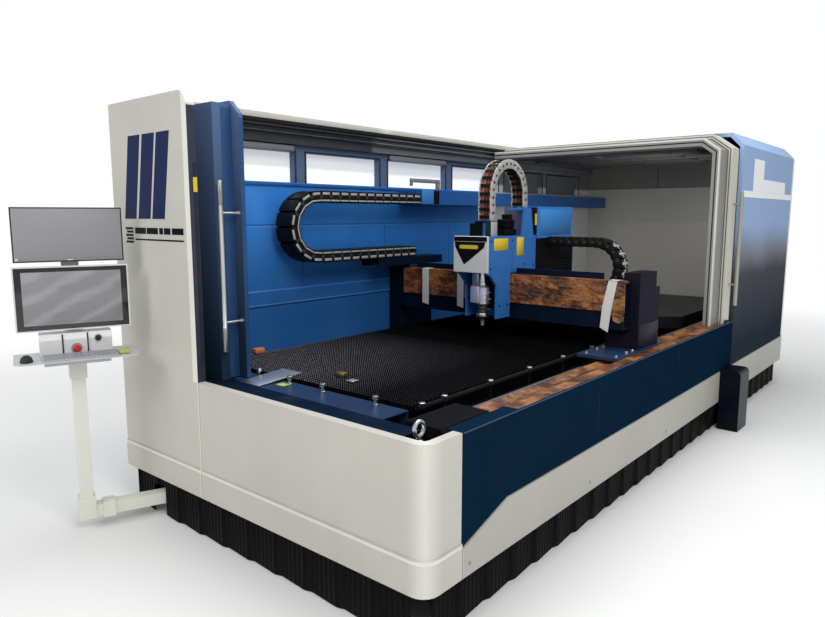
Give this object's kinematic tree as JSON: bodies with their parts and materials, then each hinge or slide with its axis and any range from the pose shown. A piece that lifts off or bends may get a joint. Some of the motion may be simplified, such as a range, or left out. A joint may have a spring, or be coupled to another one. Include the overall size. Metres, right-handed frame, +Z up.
{
  "type": "gantry laser cutting machine",
  "caption": "Gantry-type sheet cutting machine with an open slat table, travelling bridge and cutting head, telescopic hood, sliding end door and swivelling operator console.",
  "frame": {"origin": "middle of the underside of the levelling foot nearest to the loading corner on the operator's side, on the floor", "axes": "+X along the machine from the loading end to the housing, +Y from the operator's side to the back wall, +Z up"},
  "size_m": [6.3, 2.37, 2.281],
  "materials": {
    "white_paint": "semi-gloss warm white",
    "navy_paint": "glossy dark blue",
    "blue_paint": "satin blue",
    "black_paint": "matt black",
    "grey_paint": "satin grey",
    "chain_plastic": "matt black",
    "bright_steel": "polished",
    "aluminium": "anodised",
    "frosted_sheet": "translucent white",
    "oiled_paper": "oil-soaked brown",
    "rubber": "matt black",
    "red_plastic": "glossy red",
    "black_plastic": "matt black",
    "grey_plastic": "matt grey",
    "pearl_plastic": "glossy pearl grey"
  },
  "bodies": {
    "machine_bed": {"back_wall": "blue_paint", "back_windows": "frosted_sheet", "bed_far_beam": "black_paint", "bed_frame": "black_paint", "bed_pan": "black_paint", "chain_beam": "blue_paint", "chain_x_upper": "chain_plastic", "console_stand": "white_paint", "curtain_back": "rubber", "curtain_far": "rubber", "curtain_front": "rubber", "curtain_near": "rubber", "cutting_grate": "black_paint", "door_sill": "black_paint", "end_panel_low": "white_paint", "end_panel_tall": "white_paint", "far_rail": "bright_steel", "front_kick_panel": "white_paint", "front_panel": "navy_paint", "hood_rail": "aluminium", "housing_end_wall": "white_paint", "housing_shell": "navy_paint", "lifting_eye": "bright_steel", "near_rail": "bright_steel", "rail_end_stop": "black_paint", "rail_guard": "oiled_paper", "rear_deck": "grey_paint", "service_cover": "navy_paint", "side_bar": "black_paint", "table_rim": "navy_paint"},
    "gantry": {"gantry_beam": "black_paint", "beam_guard": "oiled_paper", "near_column": "black_paint", "near_base": "navy_paint", "chain_x_lower": "chain_plastic", "chain_y_lower": "chain_plastic"},
    "carriage": {"carriage_body": "blue_paint", "carriage_cover": "white_paint", "y_drive": "black_paint", "cable_box": "blue_paint", "z_motor": "black_paint", "chain_y_upper": "chain_plastic", "chain_z": "chain_plastic"},
    "head": {"z_slide": "aluminium", "cutting_head": "bright_steel", "nozzle": "bright_steel"},
    "outer_hood_stage": {"outer_hood": "white_paint", "hood_pull": "bright_steel"},
    "inner_hood_stage": {"inner_hood": "white_paint"},
    "rear_leaf": {"door_leaf_rear": "navy_paint"},
    "front_leaf": {"door_leaf_front": "navy_paint", "door_pull": "bright_steel"},
    "console_head": {"console_tray": "pearl_plastic", "control_box": "pearl_plastic", "upper_monitor": "grey_plastic", "keyboard": "aluminium", "mouse": "black_plastic"},
    "touch_screen": {"touch_monitor": "pearl_plastic"},
    "stop_button": {"emergency_stop": "red_plastic"},
    "selector": {"selector_knob": "black_plastic"}
  },
  "joints": [
    {"name": "gantry_x", "type": "slide", "parent": "machine_bed", "child": "gantry", "axis": [1, 0, 0], "range_m": [-1.3, 1.5], "deforming": ["chain_x_upper", "chain_x_lower"]},
    {"name": "carriage_y", "type": "slide", "parent": "gantry", "child": "carriage", "axis": [0, 1, 0], "range_m": [-0.55, 0.62], "deforming": ["chain_y_upper", "chain_y_lower"]},
    {"name": "head_z", "type": "slide", "parent": "carriage", "child": "head", "axis": [0, 0, 1], "range_m": [-0.08, 0.04], "deforming": ["chain_z"]},
    {"name": "outer_hood_x", "type": "slide", "parent": "machine_bed", "child": "outer_hood_stage", "axis": [-1, 0, 0], "range_m": [0, 1.6]},
    {"name": "inner_hood_x", "type": "slide", "parent": "outer_hood_stage", "child": "inner_hood_stage", "axis": [-1, 0, 0], "range_m": [0, 1.56]},
    {"name": "rear_leaf_y", "type": "slide", "parent": "machine_bed", "child": "rear_leaf", "axis": [0, -1, 0], "range_m": [0, 0.665]},
    {"name": "front_leaf_y", "type": "slide", "parent": "rear_leaf", "child": "front_leaf", "axis": [0, -1, 0], "range_m": [0, 0.665]},
    {"name": "console_swivel", "type": "hinge", "parent": "machine_bed", "child": "console_head", "pos_m": [-0.68, 1.78, 0.9], "axis": [0, 0, 1], "range_deg": [-90, 90]},
    {"name": "screen_tilt", "type": "hinge", "parent": "console_head", "child": "touch_screen", "pos_m": [-0.66574, 1.8195, 1.24], "axis": [0.9406, -0.3396, 0], "range_deg": [-7, 7]},
    {"name": "stop_press", "type": "slide", "parent": "console_head", "child": "stop_button", "axis": [0.3396, 0.9406, 0], "range_m": [0, 0.005], "stiffness_N_per_m": 600},
    {"name": "selector_turn", "type": "hinge", "parent": "console_head", "child": "selector", "pos_m": [-0.60462, 1.69431, 1.03], "axis": [0.3396, 0.9406, 0], "range_deg": [-45, 45]}
  ]
}
